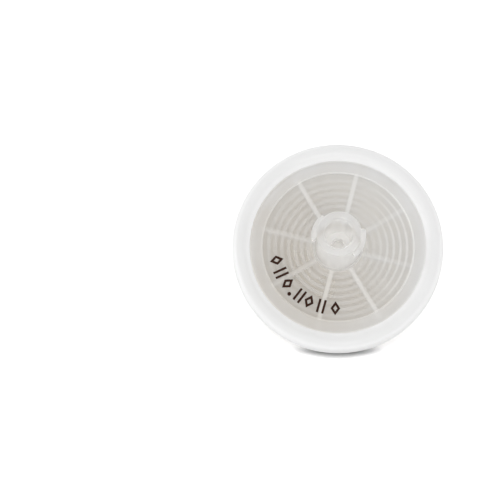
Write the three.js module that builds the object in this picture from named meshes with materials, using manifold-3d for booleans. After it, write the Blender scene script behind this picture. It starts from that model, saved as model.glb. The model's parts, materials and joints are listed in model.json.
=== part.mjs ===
// A syringe filter in millimetres. Two moulded shells with luer fittings clamp a disc membrane,
// and a rim moulded round their edges holds them together.
// It is built about its own axis with the inlet up, then tipped over on to its rim and outlet tip,
// which is how it lies on a bench.

import * as THREE from "three";
import { mergeVertices } from "three/addons/utils/BufferGeometryUtils.js";
import Module from "manifold-3d";

// ---- Driving dimensions ----

// Rim: one ring of C section, moulded round the edges of both shells.
const rimRadius = 15.75;
const rimHeight = 3.9;
const rimWall = 1.15; // behind the shells' flanges
const rimRound = 1.25; // outer edges
const lipWidth = 2.6; // from the rim's outer face in to both lips' inner edge
const lipThickness = 0.8;
const lipSlopeWidth = 0.95; // from the rim's face down to each lip's inner edge
const lipSlopeHeight = 0.6;
const partingDrop = 1.95; // from the inlet side's face down to the parting groove
const partingDepth = 0.12;
const partingWidth = 1;

// Membrane: a plain disc between the shells.
const membraneThickness = 0.15;

// Both shells
const fit = 0.3; // clearance from each piece to its neighbour
const faceRecess = 0.65; // outer face of each shell below the rim's face
const flangeWidth = 1.5; // of each shell outside the membrane's pocket
const sealWidth = 1.2; // of the membrane's edge, clamped between the shells
const chamberDepth = 0.4;
const footRound = 0.4; // where a tube meets its plate

// Inlet shell: the distributor under its plate, and a female luer lock on top.
const ridgePitch = 0.98;
const ridgeHeight = 0.3;
const ridgeRoot = 0.76;
const ridgeCrest = 0.4;
const spokeCount = 8;
const spokeWidth = 0.62;
const spokeTurn = -14.5; // degrees, first spoke
const inletHeight = 8.5; // above the rim's face
const inletFootRadius = 3.5;
const inletEndRadius = 3.4;
const inletEdge = 0.15;
const inletHoleRadius = 1;
const luerMouthRadius = 2.15;
const luerDepth = 7.8;
const luerTaper = 0.06; // of the diameter, for each millimetre of length
const mouthChamfer = 0.25;
const lugRadius = 4.05;
const lugRoot = 1.7;
const lugCrest = 0.6;
const lugTopSlope = 0.85; // axial height of a lug's upper flank
const lugArc = 66; // degrees
const lugTurn = -20; // degrees, middle of the first lug
const lugLead = 5; // rise of the lug's helix in one whole turn

// Outlet shell: the grid that carries the membrane, a collar, and a male luer slip tip.
const supportPitch = 2;
const supportRoot = 0.7;
const supportCrest = 0.4;
const drainCount = 8;
const drainWidth = 0.8;
const sumpRadius = 2; // funnel at the middle of the grid
const collarLength = 6; // from the rim's face
const collarFootRadius = 2.85;
const collarEndRadius = 2.65;
const collarRound = 0.35;
const tipLength = 8.9;
const tipEndRadius = 1.98;
const tipRound = 0.2;
const boreEndRadius = 1;
const boreTopRadius = 0.75;

// Making
const turnSteps = 48; // sides of everything turned
const roundSteps = 4; // sides of a rounded edge
const fuse = 0.3; // how far one form of a moulding reaches into the next

// ---- Levels along the axis, from the middle of the membrane ----

const rimFace = rimHeight / 2;
const plateFace = rimFace - faceRecess;
const flangeFace = rimFace - lipThickness - fit;
const clampFace = membraneThickness / 2 + fit;
const chamberFloor = clampFace + chamberDepth;
const jointFace = fit / 2;
const mouthLevel = rimFace + inletHeight;
const stepLevel = -rimFace - collarLength;
const tipLevel = stepLevel - tipLength;

// ---- Radii that follow from the others ----

const grooveRadius = rimRadius - rimWall;
const flangeRadius = grooveRadius - fit;
const pocketRadius = flangeRadius - flangeWidth;
const membraneRadius = pocketRadius - fit;
const chamberRadius = membraneRadius - sealWidth;
const lipRadius = rimRadius - lipWidth;
const plateRadius = lipRadius - fit;
const luerEndRadius = luerMouthRadius - (luerTaper / 2) * luerDepth;
const tipBaseRadius = tipEndRadius + (luerTaper / 2) * tipLength;

// ---- Solids ----

const wasm = await Module();
wasm.setup();

// A closed geometry as a solid that can be joined and cut.
function solidOf(geometry) {
  const bare = geometry.clone();
  bare.deleteAttribute("normal");
  bare.deleteAttribute("uv");
  const merged = mergeVertices(bare);
  return new wasm.Manifold(
    new wasm.Mesh({
      numProp: 3,
      vertProperties: merged.getAttribute("position").array,
      triVerts: new Uint32Array(merged.getIndex().array),
    }),
  );
}

// A solid as a named mesh.
function meshOf(name, solid, colour, roughness) {
  const made = solid.getMesh();
  const geometry = new THREE.BufferGeometry();
  geometry.setAttribute("position", new THREE.BufferAttribute(made.vertProperties, 3));
  geometry.setIndex(new THREE.BufferAttribute(made.triVerts, 1));
  geometry.computeVertexNormals();
  const material = new THREE.MeshStandardMaterial({ color: colour, roughness, metalness: 0 });
  const mesh = new THREE.Mesh(geometry, material);
  mesh.name = name;
  return mesh;
}

// A closed section of [radius, level] points, counter-clockwise, turned about the axis.
// A flat side, not a corner, faces the bench.
function turned(section) {
  const points = [...section, section[0]].map(([radius, level]) => new THREE.Vector2(radius, level));
  const lathe = new THREE.LatheGeometry(points, turnSteps, Math.PI / turnSteps);
  return lathe.rotateX(Math.PI / 2);
}

// Points round an edge, from one angle to another in degrees, about a centre in the section.
function rounded(radius, level, size, from, to) {
  const points = [];
  for (let i = 0; i <= roundSteps; i++) {
    const angle = THREE.MathUtils.degToRad(from + ((to - from) * i) / roundSteps);
    points.push([radius + size * Math.cos(angle), level + size * Math.sin(angle)]);
  }
  return points;
}

// Ring ridges in a section, from the first radius to the last: up from the floor and down again.
function ridges(radii, floor, top, root, crest) {
  const side = Math.sign(radii[radii.length - 1] - radii[0]) || 1;
  return radii.flatMap((radius) => [
    [radius - (side * root) / 2, floor],
    [radius - (side * crest) / 2, top],
    [radius + (side * crest) / 2, top],
    [radius + (side * root) / 2, floor],
  ]);
}

// Radii at one pitch, inwards from the chamber's wall, that clear the middle.
function ringRadii(pitch, root, clear) {
  const count = Math.floor((chamberRadius - clear - root / 2) / pitch);
  return Array.from({ length: count }, (_, i) => chamberRadius - pitch * (i + 1));
}

// A bar that lies along a radius, between two levels, turned to its place.
function radialBar(from, to, width, low, high, degrees) {
  const bar = new THREE.BoxGeometry(to - from, width, high - low);
  bar.translate((from + to) / 2, 0, (low + high) / 2);
  return solidOf(bar.rotateZ(THREE.MathUtils.degToRad(degrees)));
}

// ---- Inlet shell ----

// One luer lock lug: a ring of the lug's section, sloped into a right-hand helix,
// of which only the lug's own arc is kept.
function lug(degrees) {
  const turn = THREE.MathUtils.degToRad(degrees);
  const halfArc = THREE.MathUtils.degToRad(lugArc / 2);
  const top = mouthLevel - (lugLead * lugArc) / 720;
  const ring = turned([
    [inletEndRadius - fuse, top - lugRoot],
    [inletEndRadius, top - lugRoot],
    [lugRadius, top - lugTopSlope - lugCrest],
    [lugRadius, top - lugTopSlope],
    [inletEndRadius, top],
    [inletEndRadius - fuse, top],
  ]);
  const places = ring.getAttribute("position");
  for (let i = 0; i < places.count; i++) {
    const angle = Math.atan2(places.getY(i), places.getX(i));
    places.setZ(i, places.getZ(i) + (lugLead * angle) / (2 * Math.PI));
  }
  const reach = 2 * lugRadius;
  const sector = new THREE.Shape([
    new THREE.Vector2(0, 0),
    new THREE.Vector2(reach * Math.cos(halfArc), -reach * Math.sin(halfArc)),
    new THREE.Vector2(reach, 0),
    new THREE.Vector2(reach * Math.cos(halfArc), reach * Math.sin(halfArc)),
  ]);
  const depth = 2 * inletHeight;
  const wedge = new THREE.ExtrudeGeometry(sector, { depth, bevelEnabled: false });
  wedge.translate(0, 0, mouthLevel - inletHeight);
  return solidOf(ring.rotateZ(turn)).intersect(solidOf(wedge.rotateZ(turn)));
}

function inletShell() {
  const ringPlaces = ringRadii(ridgePitch, ridgeRoot, inletFootRadius).reverse();
  let shell = solidOf(
    turned([
      [inletHoleRadius, chamberFloor],
      ...ridges(ringPlaces, chamberFloor, chamberFloor - ridgeHeight, ridgeRoot, ridgeCrest),
      [chamberRadius, chamberFloor],
      [chamberRadius, clampFace],
      [pocketRadius, clampFace],
      [pocketRadius, jointFace],
      [flangeRadius, jointFace],
      [flangeRadius, flangeFace],
      [plateRadius, flangeFace],
      [plateRadius, plateFace],
      ...rounded(inletFootRadius + footRound, plateFace + footRound, footRound, 270, 180),
      [inletEndRadius, mouthLevel - inletEdge],
      [inletEndRadius - inletEdge, mouthLevel],
      [luerMouthRadius + mouthChamfer, mouthLevel],
      [luerMouthRadius, mouthLevel - mouthChamfer],
      [luerEndRadius, mouthLevel - luerDepth],
      [inletHoleRadius, mouthLevel - luerDepth],
    ]),
  );
  for (let i = 0; i < spokeCount; i++) {
    const degrees = spokeTurn + (360 / spokeCount) * i;
    const top = chamberFloor + fuse;
    const spoke = radialBar(inletFootRadius, chamberRadius + fuse, spokeWidth, clampFace, top, degrees);
    shell = shell.add(spoke);
  }
  return shell.add(lug(lugTurn)).add(lug(lugTurn + 180));
}

// ---- Outlet shell ----

function outletShell() {
  const ringPlaces = ringRadii(supportPitch, supportRoot, sumpRadius);
  let shell = solidOf(
    turned([
      [boreEndRadius, tipLevel],
      ...rounded(tipEndRadius - tipRound, tipLevel + tipRound, tipRound, 270, 360),
      [tipBaseRadius, stepLevel],
      ...rounded(collarEndRadius - collarRound, stepLevel + collarRound, collarRound, 270, 360),
      ...rounded(collarFootRadius + footRound, -plateFace - footRound, footRound, 180, 90),
      [plateRadius, -plateFace],
      [plateRadius, -flangeFace],
      [flangeRadius, -flangeFace],
      [flangeRadius, -jointFace],
      [pocketRadius, -jointFace],
      [pocketRadius, -clampFace],
      [chamberRadius, -clampFace],
      [chamberRadius, -chamberFloor],
      ...ridges(ringPlaces, -chamberFloor, -clampFace, supportRoot, supportCrest),
      [sumpRadius, -chamberFloor],
      [boreTopRadius, -plateFace],
    ]),
  );
  for (let i = 0; i < drainCount; i++) {
    const degrees = spokeTurn + (360 / drainCount) * (i + 0.5);
    shell = shell.subtract(radialBar(0, chamberRadius, drainWidth, -chamberFloor, 0, degrees));
  }
  return shell;
}

// ---- Membrane and rim ----

function membrane() {
  const disc = new THREE.CylinderGeometry(membraneRadius, membraneRadius, membraneThickness, turnSteps);
  return solidOf(disc.rotateX(Math.PI / 2));
}

function rim() {
  const parting = rimFace - partingDrop;
  return solidOf(
    turned([
      [lipRadius + lipSlopeWidth, -rimFace],
      ...rounded(rimRadius - rimRound, rimRound - rimFace, rimRound, 270, 360),
      [rimRadius, parting - partingWidth / 2],
      [rimRadius - partingDepth, parting],
      [rimRadius, parting + partingWidth / 2],
      ...rounded(rimRadius - rimRound, rimFace - rimRound, rimRound, 0, 90),
      [lipRadius + lipSlopeWidth, rimFace],
      [lipRadius, rimFace - lipSlopeHeight],
      [lipRadius, rimFace - lipThickness],
      [grooveRadius, rimFace - lipThickness],
      [grooveRadius, lipThickness - rimFace],
      [lipRadius, lipThickness - rimFace],
      [lipRadius, lipSlopeHeight - rimFace],
    ]),
  );
}

// ---- Assembly ----

const filter = new THREE.Group();
filter.add(meshOf("inlet_shell", inletShell(), 0xe9e8e3, 0.35));
filter.add(meshOf("outlet_shell", outletShell(), 0xe9e8e3, 0.35));
filter.add(meshOf("membrane", membrane(), 0xd9d2c4, 0.9));
filter.add(meshOf("rim", rim(), 0xf1f1ef, 0.4));

// The angle of the axis to the bench, with the rim's outlet edge and the tip's edge both touching it.
// Each touches with a flat side, which is nearer the axis than its corners.
const flatShare = Math.cos(Math.PI / turnSteps);
const contactOut = (rimRadius - rimRound - (tipEndRadius - tipRound)) * flatShare;
const contactAlong = rimRound - rimFace - (tipLevel + tipRound);
const contactSpan = Math.hypot(contactOut, contactAlong);
const axisAngle = Math.atan2(contactOut, contactAlong) + Math.asin((rimRound - tipRound) / contactSpan);
filter.rotation.x = Math.PI / 2 - axisAngle;
filter.updateMatrixWorld(true);

// The origin is on the bench, under the middle of the filter's box.
const box = new THREE.Box3().setFromObject(filter, true);
const middle = box.getCenter(new THREE.Vector3());
filter.position.set(-middle.x, -middle.y, -box.min.z);

const part = new THREE.Group();
part.add(filter);

export default part;
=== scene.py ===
import json
import math

import bmesh
import bpy
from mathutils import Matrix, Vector


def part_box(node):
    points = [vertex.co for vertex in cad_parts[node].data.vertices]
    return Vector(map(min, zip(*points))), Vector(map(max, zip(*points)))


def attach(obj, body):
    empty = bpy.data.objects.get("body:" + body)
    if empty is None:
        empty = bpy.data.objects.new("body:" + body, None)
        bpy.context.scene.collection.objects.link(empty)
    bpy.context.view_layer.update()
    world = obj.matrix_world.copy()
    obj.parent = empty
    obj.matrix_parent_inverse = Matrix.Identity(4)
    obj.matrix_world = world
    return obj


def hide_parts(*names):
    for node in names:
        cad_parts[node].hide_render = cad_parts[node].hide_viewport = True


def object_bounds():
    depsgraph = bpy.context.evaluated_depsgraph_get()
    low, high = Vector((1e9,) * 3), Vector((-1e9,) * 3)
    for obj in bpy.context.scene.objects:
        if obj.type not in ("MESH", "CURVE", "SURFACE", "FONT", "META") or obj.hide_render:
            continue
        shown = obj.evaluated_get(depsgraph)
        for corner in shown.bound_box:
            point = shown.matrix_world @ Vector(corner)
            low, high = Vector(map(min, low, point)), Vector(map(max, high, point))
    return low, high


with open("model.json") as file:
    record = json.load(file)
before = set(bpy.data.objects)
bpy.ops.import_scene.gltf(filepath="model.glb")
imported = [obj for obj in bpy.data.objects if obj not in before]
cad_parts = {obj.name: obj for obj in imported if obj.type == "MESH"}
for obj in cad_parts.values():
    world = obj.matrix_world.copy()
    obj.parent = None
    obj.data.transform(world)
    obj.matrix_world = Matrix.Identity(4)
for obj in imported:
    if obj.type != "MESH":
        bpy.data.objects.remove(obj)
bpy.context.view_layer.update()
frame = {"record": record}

# ---- Outlet moulding ----
# The lower shell of the filter: a thin polypropylene plate whose ring ridges hold up the membrane,
# with a collar and a male luer slip tip in the same moulding. Its flange is locked inside the rim.

MM = 0.001
TURN_STEPS = 192  # sides of everything turned
EASE = 0.01 * MM  # between faces that touch

rim_low, rim_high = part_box("rim")
middle = (rim_low + rim_high) / 2  # the middle of the membrane, on the filter's axis
inlet_mount = next(m for m in frame["record"]["mounts"] if m["name"] == "inlet_end")
inlet_way = Vector(inlet_mount["axis"])
tilt = math.atan2(-inlet_way.y, inlet_way.z)  # of the filter's axis from upright

rim_face = 1.95 * MM  # levels are along the axis, from the middle of the membrane
lip_radius = 13.15 * MM
lip_level = 1.15 * MM  # inner face of the rim's lip, which holds the flange
groove_radius = 14.6 * MM
plate_face = 1.3 * MM
plate_dip = 0.08 * MM  # how far the face is recessed over the chamber
dip_slope = 0.12 * MM
plate_radius = lip_radius - EASE
flange_radius = groove_radius - EASE
flange_level = lip_level - EASE
membrane_radius = 12.5 * MM
membrane_half = 0.075 * MM
clamp_level = membrane_half + EASE / 2
chamber_radius = 11.3 * MM
chamber_level = 0.475 * MM
foot_round = 0.4 * MM

support_pitch = 2 * MM
ridge_pitch = 0.98 * MM  # of the finer ridges under the inlet's plate
support_root = 0.7 * MM
support_crest = 0.4 * MM
support_count = 4
drain_count = 8
drain_width = 0.8 * MM
sump_radius = 2 * MM
spoke_turn = math.radians(-14.5)
spoke_count = 8

collar_foot_radius = 2.85 * MM
collar_end_radius = 2.65 * MM
collar_round = 0.35 * MM
step_level = -7.95 * MM
tip_level = -16.85 * MM
tip_base_radius = 2.247 * MM
tip_end_radius = 1.98 * MM
tip_round = 0.2 * MM
bore_end_radius = 1 * MM
bore_top_radius = 0.75 * MM

smooth_angle = math.radians(28)  # sharper edges stay sharp in the shading


def deselect_all():
    if bpy.context.mode != "OBJECT":
        bpy.ops.object.mode_set(mode="OBJECT")
    bpy.ops.object.select_all(action="DESELECT")


# Draws a closed section of (radius, level) corners round the axis: a circle at the first corner,
# extruded and scaled to each corner in turn, and back to the first.
def turn_section(name, corners):
    deselect_all()
    radius, level = corners[0]
    bpy.ops.mesh.primitive_circle_add(
        vertices=TURN_STEPS, radius=radius, location=(0, 0, level), enter_editmode=True
    )
    bpy.context.object.name = name
    for next_radius, next_level in corners[1:] + corners[:1]:
        rise = (0, 0, next_level - level)
        bpy.ops.mesh.extrude_region_move(TRANSFORM_OT_translate={"value": rise})
        share = next_radius / radius
        bpy.ops.transform.resize(value=(share, share, 1), center_override=(0, 0, 0))
        radius, level = next_radius, next_level
    bpy.ops.mesh.select_all(action="SELECT")
    bpy.ops.mesh.remove_doubles(threshold=EASE / 10)
    bpy.ops.mesh.normals_make_consistent(inside=False)
    bpy.ops.object.mode_set(mode="OBJECT")
    piece = bpy.context.object
    bpy.ops.object.transform_apply(location=True, rotation=True, scale=True)
    return piece


# Rounds the ring edges of a turned piece that lie at these corners.
def round_rings(piece, corners, size, segments=5):
    bpy.ops.object.mode_set(mode="EDIT")
    bpy.ops.mesh.select_mode(type="EDGE")
    bpy.ops.mesh.select_all(action="DESELECT")
    mesh = bmesh.from_edit_mesh(piece.data)

    def at_corner(vertex):
        place = Vector((vertex.co.xy.length, vertex.co.z))
        return any((place - Vector(corner)).length < EASE / 4 for corner in corners)

    for edge in mesh.edges:
        level = abs(edge.verts[0].co.z - edge.verts[1].co.z) < EASE / 4
        edge.select_set(level and all(at_corner(v) for v in edge.verts))
    bmesh.update_edit_mesh(piece.data)
    bpy.ops.mesh.bevel(offset=size, segments=segments, profile=0.5, affect="EDGES")
    bpy.ops.object.mode_set(mode="OBJECT")


# A bar along a radius, between two levels.
def radial_bar(inner, outer, width, low, high, turn):
    deselect_all()
    bpy.ops.mesh.primitive_cube_add(size=1, enter_editmode=True)
    bpy.ops.transform.resize(value=(outer - inner, width, high - low))
    centre = ((inner + outer) / 2, 0, (low + high) / 2)
    bpy.ops.transform.translate(value=centre)
    bpy.ops.object.mode_set(mode="OBJECT")
    bar = bpy.context.object
    bar.rotation_euler = (0, 0, turn)
    bpy.ops.object.transform_apply(location=False, rotation=True, scale=False)
    return bar


# Joins a tool solid to a piece, or cuts it away.
def combine(piece, tool, operation):
    deselect_all()
    bpy.context.view_layer.objects.active = piece
    piece.select_set(True)
    bpy.ops.object.modifier_add(type="BOOLEAN")
    boolean = piece.modifiers[-1]
    boolean.operation = operation
    boolean.solver = "EXACT"
    boolean.object = tool
    bpy.ops.object.modifier_apply(modifier=boolean.name)
    bpy.data.objects.remove(tool)


# Smooths a piece's shading, and tips it over with its axis to where the filter lies.
def lay_down(piece):
    deselect_all()
    bpy.context.view_layer.objects.active = piece
    piece.select_set(True)
    bpy.ops.object.shade_smooth_by_angle(angle=smooth_angle)
    bpy.ops.object.modifier_add(type="WEIGHTED_NORMAL")
    piece.modifiers[-1].keep_sharp = True
    bpy.ops.object.modifier_apply(modifier=piece.modifiers[-1].name)
    piece.rotation_euler = (tilt, 0, 0)
    piece.location = middle
    bpy.ops.object.transform_apply(location=True, rotation=True, scale=True)


# Ring ridges in a section, each up from the floor to its crest and down again.
def ridge_corners(radii, floor, crest_level, root, crest):
    way = math.copysign(1, radii[-1] - radii[0])
    corners = []
    for radius in radii:
        corners.append((radius - way * root / 2, floor))
        corners.append((radius - way * crest / 2, crest_level))
        corners.append((radius + way * crest / 2, crest_level))
        corners.append((radius + way * root / 2, floor))
    return corners


support_radii = [chamber_radius - support_pitch * (i + 1) for i in range(support_count)]
outlet = turn_section(
    "outlet_moulding",
    [
        (bore_end_radius, tip_level),
        (tip_end_radius, tip_level),
        (tip_base_radius, step_level),
        (collar_end_radius, step_level),
        (collar_foot_radius, -plate_face + plate_dip),
        (chamber_radius, -plate_face + plate_dip),
        (chamber_radius + dip_slope, -plate_face),
        (plate_radius, -plate_face),
        (plate_radius, -flange_level),
        (flange_radius, -flange_level),
        (flange_radius, -EASE / 2),
        (membrane_radius + EASE, -EASE / 2),
        (membrane_radius + EASE, -clamp_level),
        (chamber_radius, -clamp_level),
        (chamber_radius, -chamber_level),
        *ridge_corners(support_radii, -chamber_level, -clamp_level, support_root, support_crest),
        (sump_radius, -chamber_level),
        (bore_top_radius, -plate_face),
    ],
)
round_rings(outlet, [(tip_end_radius, tip_level)], tip_round)
round_rings(outlet, [(collar_end_radius, step_level)], collar_round)
round_rings(outlet, [(collar_foot_radius, -plate_face + plate_dip)], foot_round)
for i in range(drain_count):
    turn = spoke_turn + (i + 0.5) * math.tau / drain_count
    drain = radial_bar(sump_radius, chamber_radius - EASE, drain_width, EASE - chamber_level, 0, turn)
    combine(outlet, drain, "DIFFERENCE")


# Sets a node's input to another node's output, or to a plain value.
def feed(links, value, socket):
    if isinstance(value, bpy.types.NodeSocket):
        links.new(value, socket)
    else:
        socket.default_value = value


# A step of arithmetic on outputs and plain numbers.
def calculate(nodes, links, operation, *values):
    step = nodes.new("ShaderNodeMath")
    step.operation = operation
    for value, socket in zip(values, step.inputs):
        feed(links, value, socket)
    return step.outputs["Value"]


# Mixes two numbers or colours: the first where the share is 0, the second where it is 1.
def mix(nodes, links, kind, share, first, second):
    mixed = nodes.new("ShaderNodeMix")
    mixed.data_type = kind
    feed(links, share, mixed.inputs["Factor"])
    feed(links, first, mixed.inputs["A"])
    feed(links, second, mixed.inputs["B"])
    return mixed.outputs["Result"]


# Noise that is fixed to the filter, from 0 to 1.
def noise(nodes, links, space, scale, detail):
    texture = nodes.new("ShaderNodeTexNoise")
    texture.inputs["Scale"].default_value = scale
    texture.inputs["Detail"].default_value = detail
    links.new(space.outputs["Place"], texture.inputs["Vector"])
    return texture


# Fine relief on a shader's surface.
def add_bump(nodes, links, shader, height, strength, distance):
    bump = nodes.new("ShaderNodeBump")
    bump.inputs["Strength"].default_value = strength
    bump.inputs["Distance"].default_value = distance
    links.new(height, bump.inputs["Height"])
    links.new(bump.outputs["Normal"], shader.inputs["Normal"])


def add_group(nodes, group):
    node = nodes.new("ShaderNodeGroup")
    node.node_tree = group
    return node


def new_group(name, inputs, outputs):
    group = bpy.data.node_groups.new(name, "ShaderNodeTree")
    for way, sockets in (("INPUT", inputs), ("OUTPUT", outputs)):
        for socket, kind in sockets:
            group.interface.new_socket(socket, in_out=way, socket_type="NodeSocket" + kind)
    return group, group.nodes, group.links


def new_material(name):
    material = bpy.data.materials.new(name)
    material.use_nodes = True
    return material, material.node_tree.nodes, material.node_tree.links


# Where a point is on the filter, in millimetres: its place from the membrane's middle, with its
# radius from the axis and its level along it.
def make_filter_space():
    outputs = (("Place", "Vector"), ("Radius", "Float"), ("Level", "Float"))
    group, nodes, links = new_group("filter space", (), outputs)
    coordinates = nodes.new("ShaderNodeTexCoord")
    centred = nodes.new("ShaderNodeMapping")
    centred.vector_type = "TEXTURE"
    centred.inputs["Location"].default_value = middle
    centred.inputs["Rotation"].default_value = (tilt, 0, 0)
    links.new(coordinates.outputs["Object"], centred.inputs["Vector"])
    in_millimetres = nodes.new("ShaderNodeVectorMath")
    in_millimetres.operation = "SCALE"
    in_millimetres.inputs["Scale"].default_value = 1 / MM
    links.new(centred.outputs["Vector"], in_millimetres.inputs[0])
    across = nodes.new("ShaderNodeVectorMath")
    across.operation = "MULTIPLY"
    across.inputs[1].default_value = (1, 1, 0)
    links.new(in_millimetres.outputs["Vector"], across.inputs[0])
    radius = nodes.new("ShaderNodeVectorMath")
    radius.operation = "LENGTH"
    links.new(across.outputs["Vector"], radius.inputs[0])
    split = nodes.new("ShaderNodeSeparateXYZ")
    links.new(in_millimetres.outputs["Vector"], split.inputs["Vector"])
    output = nodes.new("NodeGroupOutput")
    links.new(in_millimetres.outputs["Vector"], output.inputs["Place"])
    links.new(radius.outputs["Value"], output.inputs["Radius"])
    links.new(split.outputs["Z"], output.inputs["Level"])
    return group


filter_space = make_filter_space()

painted_light_way = (0.75, 0.66, 0)  # across the disc, towards the side that painted light makes paler
painted_light_reach = 14  # millimetres to each side of the middle


# How far a point lies towards the side of the disc that painted light makes paler, from 0 to 1.
def make_painted_light_share():
    group, nodes, links = new_group("painted light share", (), (("Share", "Float"),))
    space = add_group(nodes, filter_space)
    along = nodes.new("ShaderNodeVectorMath")
    along.operation = "DOT_PRODUCT"
    along.inputs[1].default_value = painted_light_way
    links.new(space.outputs["Place"], along.inputs[0])
    share = nodes.new("ShaderNodeMapRange")
    share.interpolation_type = "SMOOTHSTEP"
    share.inputs["From Min"].default_value = -painted_light_reach
    share.inputs["From Max"].default_value = painted_light_reach
    links.new(along.outputs["Value"], share.inputs["Value"])
    output = nodes.new("NodeGroupOutput")
    links.new(share.outputs["Result"], output.inputs["Share"])
    return group


painted_light_share = make_painted_light_share()

cloud_scale = 0.22  # noise cells to the millimetre
flow_scale = 6
gloss_swing = 0.06  # of the roughness, to each side
painted_light_part = 0.7  # share of the paling that is painted light, going by the side of the disc


# Moulded polypropylene: a milky body that is a little uneven and, by painted light, pales towards one
# side of the disc, and a skin with fine flow marks.
def make_milky_plastic():
    inputs = (("Colour", "Color"), ("Cloud Colour", "Color"), ("Roughness", "Float"))
    outputs = (("Colour", "Color"), ("Roughness", "Float"), ("Height", "Float"))
    group, nodes, links = new_group("milky plastic", inputs, outputs)
    given = nodes.new("NodeGroupInput")
    output = nodes.new("NodeGroupOutput")
    space = add_group(nodes, filter_space)
    cloud = noise(nodes, links, space, cloud_scale, 3)
    spread = nodes.new("ShaderNodeMapRange")
    spread.inputs["From Min"].default_value = 0.35
    spread.inputs["From Max"].default_value = 0.65
    links.new(cloud.outputs["Fac"], spread.inputs["Value"])
    side = add_group(nodes, painted_light_share)
    # Painted light: most of the paling goes by the side of the disc, the rest by random cloud.
    share = mix(nodes, links, "FLOAT", painted_light_part, spread.outputs["Result"], side.outputs["Share"])
    colour = mix(nodes, links, "RGBA", share, given.outputs["Colour"], given.outputs["Cloud Colour"])
    links.new(colour, output.inputs["Colour"])
    grain = noise(nodes, links, space, flow_scale, 4)
    rough_swing = nodes.new("ShaderNodeMapRange")
    rough_swing.inputs["To Min"].default_value = -gloss_swing
    rough_swing.inputs["To Max"].default_value = gloss_swing
    links.new(grain.outputs["Fac"], rough_swing.inputs["Value"])
    swing = rough_swing.outputs["Result"]
    roughness = calculate(nodes, links, "ADD", given.outputs["Roughness"], swing)
    links.new(roughness, output.inputs["Roughness"])
    links.new(grain.outputs["Fac"], output.inputs["Height"])
    return group


milky_plastic = make_milky_plastic()

skin_bump = 0.1
skin_relief = 0.02 * MM


# Gives a shader the milky plastic in these two colours and this roughness.
def add_milky(nodes, links, shader, colour, cloud_colour, roughness):
    milky = add_group(nodes, milky_plastic)
    milky.inputs["Colour"].default_value = (*colour, 1)
    milky.inputs["Cloud Colour"].default_value = (*cloud_colour, 1)
    milky.inputs["Roughness"].default_value = roughness
    links.new(milky.outputs["Colour"], shader.inputs["Base Color"])
    links.new(milky.outputs["Roughness"], shader.inputs["Roughness"])
    add_bump(nodes, links, shader, milky.outputs["Height"], skin_bump, skin_relief)
    return milky


# A mask that runs from one value to another as a measure crosses a boundary.
def boundary(nodes, links, measure, start, end, value_before, value_after):
    ramp = nodes.new("ShaderNodeMapRange")
    ramp.interpolation_type = "SMOOTHSTEP"
    ramp.inputs["From Min"].default_value = start
    ramp.inputs["From Max"].default_value = end
    ramp.inputs["To Min"].default_value = value_before
    ramp.inputs["To Max"].default_value = value_after
    links.new(measure, ramp.inputs["Value"])
    return ramp.outputs["Result"]


def multiply(nodes, links, *masks):
    product = masks[0]
    for mask in masks[1:]:
        product = calculate(nodes, links, "MULTIPLY", product, mask)
    return product


def largest(nodes, links, *masks):
    chosen = masks[0]
    for mask in masks[1:]:
        chosen = calculate(nodes, links, "MAXIMUM", chosen, mask)
    return chosen


# Raises a mask that runs from 0 to 1 so that it runs from a lowest value to 1.
def raise_to(nodes, links, mask, lowest):
    return mix(nodes, links, "FLOAT", mask, lowest, 1)


def split_place(nodes, links, space):
    split = nodes.new("ShaderNodeSeparateXYZ")
    links.new(space.outputs["Place"], split.inputs["Vector"])
    return split


# How far a point is to the side of the nearest spoke's middle line.
def beside_spoke(nodes, links, space):
    split = split_place(nodes, links, space)
    turn = calculate(nodes, links, "ARCTAN2", split.outputs["Y"], split.outputs["X"])
    from_first = calculate(nodes, links, "SUBTRACT", turn, spoke_turn)
    from_nearest = calculate(nodes, links, "PINGPONG", from_first, math.pi / spoke_count)
    sine = calculate(nodes, links, "SINE", from_nearest)
    return calculate(nodes, links, "MULTIPLY", sine, space.outputs["Radius"])


# How steeply the radius through a point runs: from 0, level across the disc, to 1, straight up it.
def steepness(nodes, links, space):
    split = split_place(nodes, links, space)
    rise = calculate(nodes, links, "ABSOLUTE", split.outputs["Y"])
    return calculate(nodes, links, "DIVIDE", rise, space.outputs["Radius"])


# How far a point is from the middle of the nearest ring ridge of its own shell.
def beside_ridge(nodes, links, space):
    level = space.outputs["Level"]
    below = support_pitch / 2 / MM
    above = ridge_pitch / 2 / MM
    half_pitch = boundary(nodes, links, level, -0.1, 0.1, below, above)
    inwards = calculate(nodes, links, "SUBTRACT", chamber_radius / MM, space.outputs["Radius"])
    return calculate(nodes, links, "PINGPONG", inwards, half_pitch)


steep_start = 0.5  # from here on a spoke counts as running up the disc
steep_end = 0.86
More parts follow.
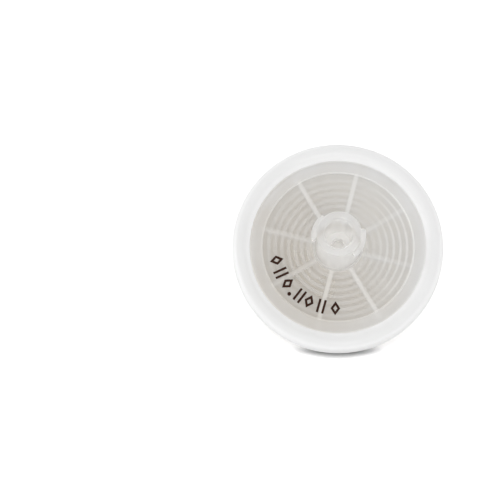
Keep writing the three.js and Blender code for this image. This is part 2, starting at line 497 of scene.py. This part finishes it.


# Shell plastic lets light through where it is thin: over the chamber each plate is see-through,
# and its ridges, spokes and clamped edge are denser where they come near the membrane. The spokes
# that run up the disc and the ridges on its right side are made the densest, and a thin line at the
# chamber's wall is denser: painted highlights for light on the ribs and a painted glint on the wall.
# Radii and levels are in millimetres.
def make_shell_plastic():
    material, nodes, links = new_material("shell plastic")
    plastic = nodes["Principled BSDF"]
    add_milky(nodes, links, plastic, (0.855, 0.82, 0.77), (0.95, 0.95, 0.945), 0.3)
    space = add_group(nodes, filter_space)
    radius = space.outputs["Radius"]
    height = calculate(nodes, links, "ABSOLUTE", space.outputs["Level"])
    to_spoke = beside_spoke(nodes, links, space)
    steep = steepness(nodes, links, space)
    outlet_side = boundary(nodes, links, space.outputs["Level"], -0.1, 0.0, 1.0, 0.0)
    wall = chamber_radius / MM
    lip = lip_radius / MM

    # Inside, next to the membrane: ridges, spokes and the middle under the tube
    clear_ridge = boundary(nodes, links, height, 0.2, 0.46, 0.55, 1.0)
    # Spokes that run up the disc are denser: painted highlights for the light on their flanks.
    spoke_clear_painted_light = boundary(nodes, links, steep, steep_start, steep_end, 0.62, 0.25)
    clear_spoke = boundary(nodes, links, to_spoke, 0.26, 0.42, 0.0, 1.0)
    clear_spoke = raise_to(nodes, links, clear_spoke, spoke_clear_painted_light)
    under_tube = boundary(nodes, links, radius, 3.4, 3.8, 1.0, 0.0)
    clear_spoke = largest(nodes, links, clear_spoke, under_tube, outlet_side)
    clear_middle = boundary(nodes, links, radius, 3.0, 3.5, 0.4, 1.0)
    clear_inside = multiply(nodes, links, clear_spoke, clear_ridge, clear_middle)

    # Outside, on the plate's face: the foot of the tube, denser partly for thicker plastic and partly
    # as painted light over the shade round it, the clamped edge and the lip
    clear_face = boundary(nodes, links, radius, 7.5, wall, 0.72, 0.6)
    foot_clear_over_shade = boundary(nodes, links, radius, 3.6, 4.7, 0.75, 1.0)
    clear_edge = boundary(nodes, links, radius, wall, wall + dip_slope / MM, 1.0, 0.72)
    clear_lip = boundary(nodes, links, radius, lip - 0.25, lip - 0.05, 1.0, 0.5)
    # A thin denser line at the chamber's wall: a painted glint.
    wall_glint_inside = boundary(nodes, links, radius, wall - 0.15, wall, 1.0, 0.55)
    wall_glint_outside = boundary(nodes, links, radius, wall + 0.06, wall + 0.2, 0.55, 1.0)
    painted_wall_glint = largest(nodes, links, wall_glint_inside, wall_glint_outside)

    # The same face over the ridges and the spokes, which the chamber's wall ends
    past_wall = boundary(nodes, links, radius, wall + 0.05, wall + 0.2, 0.0, 1.0)
    over_ridge = boundary(nodes, links, beside_ridge(nodes, links, space), 0.0, 0.3, 0.0, 1.0)
    rightwards = split_place(nodes, links, space).outputs["X"]
    # Ridges on the right side are denser: painted highlights.
    ridge_density_painted_light = boundary(nodes, links, rightwards, 4.5, 10.0, 1.0, 0.72)
    over_ridge = raise_to(nodes, links, over_ridge, ridge_density_painted_light)
    over_ridge = largest(nodes, links, over_ridge, past_wall)
    over_spoke = boundary(nodes, links, to_spoke, 0.12, 0.5, 0.0, 1.0)
    # Spokes that run up the disc are denser here too: painted highlights.
    spoke_density_painted_light = boundary(nodes, links, steep, steep_start, steep_end, 0.92, 0.78)
    over_spoke = raise_to(nodes, links, over_spoke, spoke_density_painted_light)
    over_spoke = largest(nodes, links, over_spoke, past_wall, outlet_side)
    clear_outside = multiply(nodes, links, clear_face, foot_clear_over_shade, clear_edge, clear_lip)
    clear_outside = multiply(nodes, links, clear_outside, over_ridge, over_spoke, painted_wall_glint)

    on_face = boundary(nodes, links, height, 0.8, 1.1, 0.0, 1.0)
    clear = mix(nodes, links, "FLOAT", on_face, clear_inside, clear_outside)
    links.new(calculate(nodes, links, "SUBTRACT", 1, clear), plastic.inputs["Alpha"])
    return material


tube_fog = 0.44  # how dense a tube's wall looks, from clear at 0 to solid at 1
painted_glow_colour = (0.12, 0.1176, 0.114, 1)


# Fitting plastic is the same polypropylene where it is thick: foggy, and densest where a tube meets its
# plate, partly for the thicker plastic and partly as painted light over the shade there. The socket's
# far side has a painted glow, an emission that stands in for light the wall passes on.
def make_fitting_plastic():
    material, nodes, links = new_material("fitting plastic")
    plastic = nodes["Principled BSDF"]
    plastic.inputs["Subsurface Weight"].default_value = 1
    plastic.inputs["Subsurface Radius"].default_value = (1, 1, 1)
    plastic.inputs["Subsurface Scale"].default_value = 2 * MM
    plastic.inputs["Transmission Weight"].default_value = 0.36
    plastic.inputs["IOR"].default_value = 1.2
    plastic.inputs["Emission Strength"].default_value = 1
    add_milky(nodes, links, plastic, (0.96, 0.955, 0.94), (0.975, 0.975, 0.97), 0.6)
    space = add_group(nodes, filter_space)
    radius = space.outputs["Radius"]
    height = calculate(nodes, links, "ABSOLUTE", space.outputs["Level"])
    # Denser at the foot, partly for thicker plastic and partly as painted light over the shade there.
    foot = boundary(nodes, links, height, 1.2, 2.5, 0.82, tube_fog)
    outside = boundary(nodes, links, radius, 2.6, 3.0, 0.0, 1.0)
    foot = multiply(nodes, links, foot, outside)
    mouth = boundary(nodes, links, height, 9.0, 10.2, tube_fog, 0.46)
    links.new(largest(nodes, links, foot, mouth), plastic.inputs["Alpha"])
    # Painted glow: an emission on the socket's far side, though the plastic is no lamp.
    upwards = split_place(nodes, links, space).outputs["Y"]
    far_side = boundary(nodes, links, upwards, -1.5, 1.2, 0.2, 1.0)
    in_bore = boundary(nodes, links, radius, 2.0, 2.4, 1.0, 0.0)
    in_socket = boundary(nodes, links, space.outputs["Level"], 1.4, 2.4, 0.0, 1.0)
    painted_glow_mask = multiply(nodes, links, in_bore, in_socket, far_side)
    glow = mix(nodes, links, "RGBA", painted_glow_mask, (0, 0, 0, 1), painted_glow_colour)
    links.new(glow, plastic.inputs["Emission Color"])
    return material


shell_plastic = make_shell_plastic()
fitting_plastic = make_fitting_plastic()
fitting_radius = 4.5 * MM


# Gives the faces of a shell that stand out from its plate the fitting's plastic.
def dress_shell(shell):
    shell.data.materials.append(shell_plastic)
    shell.data.materials.append(fitting_plastic)
    for face in shell.data.polygons:
        beyond_plate = abs(face.center.z) > plate_face - plate_dip / 2
        if beyond_plate and face.center.xy.length < fitting_radius:
            face.material_index = 1


dress_shell(outlet)
lay_down(outlet)
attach(outlet, "root")
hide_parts("outlet_shell")

# ---- Membrane ----
# A disc of porous sheet, the filter itself. It is punched from a roll, laid on the outlet
# moulding's ridges and clamped all round its edge between the two shells.

deselect_all()
bpy.ops.mesh.primitive_cylinder_add(
    vertices=TURN_STEPS, radius=membrane_radius, depth=2 * membrane_half
)
membrane = bpy.context.object
membrane.name = "filter_membrane"
membrane_edges = [(membrane_radius, membrane_half), (membrane_radius, -membrane_half)]
round_rings(membrane, membrane_edges, membrane_half / 3, 2)
lay_down(membrane)


fibre_relief = 0.03 * MM


# Membrane paper is fibrous, with painted shade that makes it darker and warmer towards one side of the
# disc, and painted light that makes it pale in the middle, under the inlet's hole.
def make_membrane_paper():
    material, nodes, links = new_material("membrane paper")
    paper = nodes["Principled BSDF"]
    paper.inputs["Roughness"].default_value = 0.9
    space = add_group(nodes, filter_space)
    fibre = noise(nodes, links, space, 9, 8)
    fibre.inputs["Roughness"].default_value = 0.7
    side = add_group(nodes, painted_light_share)
    # Painted shade: darker and warmer towards one side of the disc.
    share = mix(nodes, links, "FLOAT", 0.75, fibre.outputs["Fac"], side.outputs["Share"])
    tint = mix(nodes, links, "RGBA", share, (0.425, 0.37, 0.292, 1), (0.71, 0.685, 0.64, 1))
    # Painted light: pale in the middle, under the inlet's hole.
    painted_light_middle = boundary(nodes, links, space.outputs["Radius"], 2.4, 3.4, 1.0, 0.0)
    tint = mix(nodes, links, "RGBA", painted_light_middle, tint, (0.92, 0.90, 0.87, 1))
    links.new(tint, paper.inputs["Base Color"])
    add_bump(nodes, links, paper, fibre.outputs["Fac"], 0.4, fibre_relief)
    return material


membrane.data.materials.append(make_membrane_paper())
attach(membrane, "root")
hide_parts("membrane")

# ---- Inlet moulding ----
# The upper shell: a plate with fine ring ridges and eight spokes under it that spread the liquid
# over the membrane, and a female luer lock with two lugs, moulded in one shot.

ridge_height = 0.3 * MM
ridge_root = 0.76 * MM
ridge_crest = 0.4 * MM
ridge_count = 7
spoke_width = 0.62 * MM
mouth_level = 10.45 * MM
tube_foot_radius = 3.5 * MM
tube_end_radius = 3.4 * MM
tube_edge = 0.15 * MM
inlet_hole_radius = 1 * MM
mouth_radius = 2.15 * MM
mouth_chamfer = 0.25 * MM
socket_depth = 7.8 * MM
socket_end_radius = 1.916 * MM

lug_radius = 4.05 * MM
lug_root = 1.7 * MM
lug_crest = 0.6 * MM
lug_slope = 0.85 * MM
lug_arc = math.radians(66)
lug_turn = math.radians(-20)
lug_lead = 5 * MM
lug_steps = 36
lug_edge = 0.1 * MM
lug_corner = math.radians(25)  # edges sharper than this are rounded

ridge_radii = [chamber_radius - ridge_pitch * (i + 1) for i in range(ridge_count)][::-1]
crest_level = chamber_level - ridge_height
inlet = turn_section(
    "inlet_moulding",
    [
        (inlet_hole_radius, chamber_level),
        *ridge_corners(ridge_radii, chamber_level, crest_level, ridge_root, ridge_crest),
        (chamber_radius, chamber_level),
        (chamber_radius, clamp_level),
        (membrane_radius + EASE, clamp_level),
        (membrane_radius + EASE, EASE / 2),
        (flange_radius, EASE / 2),
        (flange_radius, flange_level),
        (plate_radius, flange_level),
        (plate_radius, plate_face),
        (chamber_radius + dip_slope, plate_face),
        (chamber_radius, plate_face - plate_dip),
        (tube_foot_radius, plate_face - plate_dip),
        (tube_end_radius, mouth_level),
        (mouth_radius + mouth_chamfer, mouth_level),
        (mouth_radius, mouth_level - mouth_chamfer),
        (socket_end_radius, mouth_level - socket_depth),
        (inlet_hole_radius, mouth_level - socket_depth),
    ],
)
round_rings(inlet, [(tube_foot_radius, plate_face - plate_dip)], foot_round)
round_rings(inlet, [(tube_end_radius, mouth_level)], tube_edge)
round_rings(inlet, [(mouth_radius + mouth_chamfer, mouth_level)], tube_edge / 2, 3)
for i in range(spoke_count):
    turn = spoke_turn + i * math.tau / spoke_count
    top = chamber_level + ridge_height / 2
    spoke = radial_bar(tube_foot_radius, chamber_radius + EASE * 5, spoke_width, clamp_level, top, turn)
    combine(inlet, spoke, "UNION")


# A lug: its section as one face, spun through its arc, then sloped into a right-hand helix.
def make_lug(turn):
    top = mouth_level - lug_lead * lug_arc / (2 * math.tau)
    root = tube_end_radius - tube_edge
    corners = [
        (root, top - lug_root),
        (tube_end_radius, top - lug_root),
        (lug_radius, top - lug_slope - lug_crest),
        (lug_radius, top - lug_slope),
        (tube_end_radius, top),
        (root, top),
    ]
    deselect_all()
    bpy.ops.mesh.primitive_circle_add(vertices=len(corners), radius=MM, fill_type="NGON")
    section = bpy.context.object
    for vertex, (radius, level) in zip(section.data.vertices, corners):
        vertex.co = (radius, 0, level)
    section.rotation_euler = (0, 0, turn + lug_arc / 2)
    bpy.ops.object.transform_apply(location=False, rotation=True, scale=False)
    bpy.ops.object.mode_set(mode="EDIT")
    bpy.ops.mesh.select_all(action="SELECT")
    bpy.ops.mesh.spin(steps=lug_steps, angle=lug_arc, center=(0, 0, 0), axis=(0, 0, 1))
    bpy.ops.mesh.select_all(action="SELECT")
    bpy.ops.mesh.remove_doubles(threshold=EASE / 10)
    bpy.ops.mesh.normals_make_consistent(inside=False)
    bpy.ops.object.mode_set(mode="OBJECT")
    outwards = Vector((math.cos(turn), math.sin(turn)))
    for vertex in section.data.vertices:
        vertex.co.z += lug_lead * vertex.co.xy.angle_signed(outwards) / math.tau
    bpy.ops.object.mode_set(mode="EDIT")
    bpy.ops.mesh.select_all(action="DESELECT")
    mesh = bmesh.from_edit_mesh(section.data)
    for edge in mesh.edges:
        outside = all(v.co.xy.length > tube_end_radius + lug_edge for v in edge.verts)
        edge.select_set(outside and edge.calc_face_angle(0) > lug_corner)
    bmesh.update_edit_mesh(section.data)
    bpy.ops.mesh.bevel(offset=lug_edge, segments=3, affect="EDGES")
    bpy.ops.object.mode_set(mode="OBJECT")
    return section


combine(inlet, make_lug(lug_turn), "UNION")
combine(inlet, make_lug(lug_turn + math.pi), "UNION")
dress_shell(inlet)
lay_down(inlet)
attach(inlet, "root")
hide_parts("inlet_shell")

# ---- Rim ----
# A C-shaped ring of milky polypropylene, moulded over the edges of both shells in a second shot.
# It welds them together, and has a shallow groove round the middle of its side.

rim_radius = 15.75 * MM
rim_round = 1.25 * MM
lip_wall = 0.17 * MM  # upright inner edge of each lip
lip_slope = 0.95 * MM  # width of the slope from there up to the rim's face
lip_round = 0.3 * MM
groove_depth = 0.12 * MM
groove_half = 0.5 * MM

rim = turn_section(
    "moulded_rim",
    [
        (lip_radius, -lip_level - lip_wall),
        (lip_radius + lip_slope, -rim_face),
        (rim_radius, -rim_face),
        (rim_radius, -groove_half),
        (rim_radius - groove_depth, -groove_half / 2),
        (rim_radius - groove_depth, groove_half / 2),
        (rim_radius, groove_half),
        (rim_radius, rim_face),
        (lip_radius + lip_slope, rim_face),
        (lip_radius, lip_level + lip_wall),
        (lip_radius, lip_level),
        (groove_radius, lip_level),
        (groove_radius, -lip_level),
        (lip_radius, -lip_level),
    ],
)
round_rings(rim, [(rim_radius, -rim_face), (rim_radius, rim_face)], rim_round, 10)
groove_edges = [(rim_radius, -groove_half), (rim_radius, groove_half)]
groove_edges += [(rim_radius - groove_depth, side * groove_half / 2) for side in (-1, 1)]
round_rings(rim, groove_edges, groove_half / 5, 3)
slope_tops = [(lip_radius + lip_slope, rim_face), (lip_radius + lip_slope, -rim_face)]
round_rings(rim, slope_tops, lip_round, 6)
lay_down(rim)


# Rim plastic is milky right through, and painted light makes it paler where it thins towards the lip
# and the wall.
def make_rim_plastic():
    material, nodes, links = new_material("rim plastic")
    plastic = nodes["Principled BSDF"]
    plastic.inputs["Subsurface Weight"].default_value = 0.6
    plastic.inputs["Subsurface Radius"].default_value = (1, 1, 1)
    plastic.inputs["Subsurface Scale"].default_value = 0.15 * MM
    milky = add_milky(nodes, links, plastic, (0.81, 0.81, 0.805), (0.845, 0.845, 0.845), 0.32)
    space = add_group(nodes, filter_space)
    # Painted light towards the lip and the wall, which lifts the shade there.
    near_lip = boundary(nodes, links, space.outputs["Radius"], 13.2, 14.3, 0.7, 0.0)
    near_wall = boundary(nodes, links, space.outputs["Radius"], 14.9, 15.5, 0.0, 0.7)
    painted_light_where_thin = largest(nodes, links, near_lip, near_wall)
    tint = mix(nodes, links, "RGBA", painted_light_where_thin, milky.outputs["Colour"], (0.95, 0.95, 0.95, 1))
    links.new(tint, plastic.inputs["Base Color"])
    return material


rim.data.materials.append(make_rim_plastic())
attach(rim, "root")
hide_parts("rim")

# ---- Print ----
# A row of plain marks in dark brown ink, pad printed along an arc on the inlet moulding's face.
# The ink lies on the plastic as a film, a little uneven, with no lettering.

ink_film = 0.02 * MM
ink_radius = 9.35 * MM
mark_height = 2.1 * MM
stroke = 0.34 * MM
diamond_width = 1.45 * MM
dot_width = 1.7 * stroke
dot_rise = 0.4 * mark_height  # of the dot, out from the middle of the row
bar_offset = 1.2 * stroke
mark_turns = [192.5, 205, 216.5, 224.5, 232.5, 242.5, 254.5, 267.5]  # degrees round the face
mark_kinds = ["diamond", "bars", "diamond", "dot", "bars", "diamond", "bars", "diamond"]


# A flat outline round its middle, or a filled shape where the stroke is as wide as the shape.
def flat_shape(sides, width, height, hollow):
    deselect_all()
    bpy.ops.mesh.primitive_circle_add(
        vertices=sides, radius=0.5 * MM, fill_type="NGON", location=(0, 0, 0), enter_editmode=True
    )
    bpy.ops.transform.resize(value=(width / MM, height / MM, 1), center_override=(0, 0, 0))
    if hollow:
        bpy.ops.mesh.inset(thickness=stroke)
        bpy.ops.mesh.delete(type="FACE")
    bpy.ops.object.mode_set(mode="OBJECT")
    return bpy.context.object


def make_mark(kind):
    if kind == "diamond":
        return flat_shape(4, diamond_width, mark_height, True)
    if kind == "dot":
        return flat_shape(24, dot_width, dot_width, False)
    bars = []
    for side in (-1, 1):
        deselect_all()
        bpy.ops.mesh.primitive_plane_add(size=1, enter_editmode=True)
        bpy.ops.transform.resize(value=(stroke, mark_height, 1), center_override=(0, 0, 0))
        bpy.ops.transform.translate(value=(side * bar_offset, 0, 0))
        bpy.ops.object.mode_set(mode="OBJECT")
        bars.append(bpy.context.object)
    deselect_all()
    for bar in bars:
        bar.select_set(True)
    bpy.context.view_layer.objects.active = bars[0]
    bpy.ops.object.join()
    return bars[0]


marks = []
for degrees, kind in zip(mark_turns, mark_kinds):
    mark = make_mark(kind)
    turn = math.radians(degrees)
    mark.rotation_euler = (0, 0, turn + math.pi / 2)
    across = Vector((math.cos(turn), math.sin(turn), 0))
    mark.location = ink_radius * across + Vector((0, 0, plate_face - plate_dip + EASE / 2))
    if kind == "dot":
        mark.location += dot_rise * across
    marks.append(mark)
deselect_all()
for mark in marks:
    mark.select_set(True)
bpy.context.view_layer.objects.active = marks[0]
bpy.ops.object.join()
print_marks = bpy.context.object
print_marks.name = "print_marks"
bpy.ops.object.transform_apply(location=True, rotation=True, scale=True)
bpy.ops.object.mode_set(mode="EDIT")
bpy.ops.mesh.select_all(action="SELECT")
bpy.ops.mesh.extrude_region_move(TRANSFORM_OT_translate={"value": (0, 0, ink_film)})
bpy.ops.mesh.select_all(action="SELECT")
bpy.ops.mesh.normals_make_consistent(inside=False)
bpy.ops.object.mode_set(mode="OBJECT")
lay_down(print_marks)


def make_print_ink():
    material, nodes, links = new_material("print ink")
    ink = nodes["Principled BSDF"]
    ink.inputs["Specular IOR Level"].default_value = 0.15
    space = add_group(nodes, filter_space)
    mottle = noise(nodes, links, space, 5, 4).outputs["Fac"]
    tint = mix(nodes, links, "RGBA", mottle, (0.012, 0.003, 0.001, 1), (0.05, 0.017, 0.008, 1))
    links.new(tint, ink.inputs["Base Color"])
    roughness = boundary(nodes, links, mottle, 0.3, 0.7, 0.4, 0.6)
    links.new(roughness, ink.inputs["Roughness"])
    add_bump(nodes, links, ink, mottle, 0.2, 0.01 * MM)
    return material


print_marks.data.materials.append(make_print_ink())
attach(print_marks, "root")

# ---- Studio ----
# A white bench with a painted contact shadow where the filter comes near it, a large soft lamp on the
# left, a low one in front, and a plain bright room.

bench_size = 4
bench_colour = 0.94
shadow_reach = 1.3 * MM  # how near the filter comes to the bench where the painted shadow darkens it
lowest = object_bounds()[0][2]
deselect_all()
bpy.ops.mesh.primitive_plane_add(size=bench_size, location=(0, 0, lowest))
bench = bpy.context.object
bench.name = "bench"


def make_bench_white():
    material, nodes, links = new_material("bench white")
    nodes.clear()
    output = nodes.new("ShaderNodeOutputMaterial")
    matt = nodes.new("ShaderNodeBsdfDiffuse")
    seen = nodes.new("ShaderNodeLightPath")
    near = nodes.new("ShaderNodeAmbientOcclusion")
    near.inputs["Distance"].default_value = shadow_reach
    # Painted contact shadow: the camera sees the bench darker where the filter is near.
    painted_contact_shadow = boundary(nodes, links, near.outputs["AO"], 0.0, 1.0, 0.4, 1.45)
    tint = mix(nodes, links, "FLOAT", seen.outputs["Is Camera Ray"], bench_colour, painted_contact_shadow)
    links.new(tint, matt.inputs["Color"])
    links.new(matt.outputs["BSDF"], output.inputs["Surface"])
    return material


bench.data.materials.append(make_bench_white())


def add_lamp(name, place, size, power):
    deselect_all()
    bpy.ops.object.light_add(type="AREA", location=place)
    lamp = bpy.context.object
    lamp.name = name
    lamp.data.size = size
    lamp.data.energy = power
    aim = middle - Vector(place)
    lamp.rotation_euler = aim.to_track_quat("-Z", "Y").to_euler()
    return lamp


add_lamp("left_softbox", (-0.6, -0.1, 0.15), 0.2, 0.42)
add_lamp("front_softbox", (0.05, -0.47, 0.17), 0.2, 0.35)

world = bpy.data.worlds.new("room")
bpy.context.scene.world = world
world.use_nodes = True
room = world.node_tree.nodes["Background"]
room.inputs["Color"].default_value = (1, 1, 1, 1)
seen = world.node_tree.nodes.new("ShaderNodeLightPath")
strength = world.node_tree.nodes.new("ShaderNodeMapRange")
strength.inputs["To Min"].default_value = 0.86
strength.inputs["To Max"].default_value = 1.0
world.node_tree.links.new(seen.outputs["Is Camera Ray"], strength.inputs["Value"])
world.node_tree.links.new(strength.outputs["Result"], room.inputs["Strength"])

# Camera
picture_width = 74.63 * MM  # what the picture spans at the filter
camera_distance = 0.8
camera_elevation = math.radians(29.3)
aim_left = 13.1 * MM
aim_below = 0.2 * MM

deselect_all()
bpy.ops.object.camera_add()
camera = bpy.context.object
camera.rotation_euler = (math.pi / 2 - camera_elevation, 0, 0)
towards = Vector((0, -math.cos(camera_elevation), math.sin(camera_elevation)))
upwards = Vector((0, math.sin(camera_elevation), math.cos(camera_elevation)))
aim = middle - aim_left * Vector((1, 0, 0)) - aim_below * upwards
camera.location = aim + camera_distance * towards
camera.data.lens = camera.data.sensor_width * camera_distance / picture_width
camera.data.clip_start = 0.01
bpy.context.scene.camera = camera
bpy.context.scene.view_settings.view_transform = "Standard"
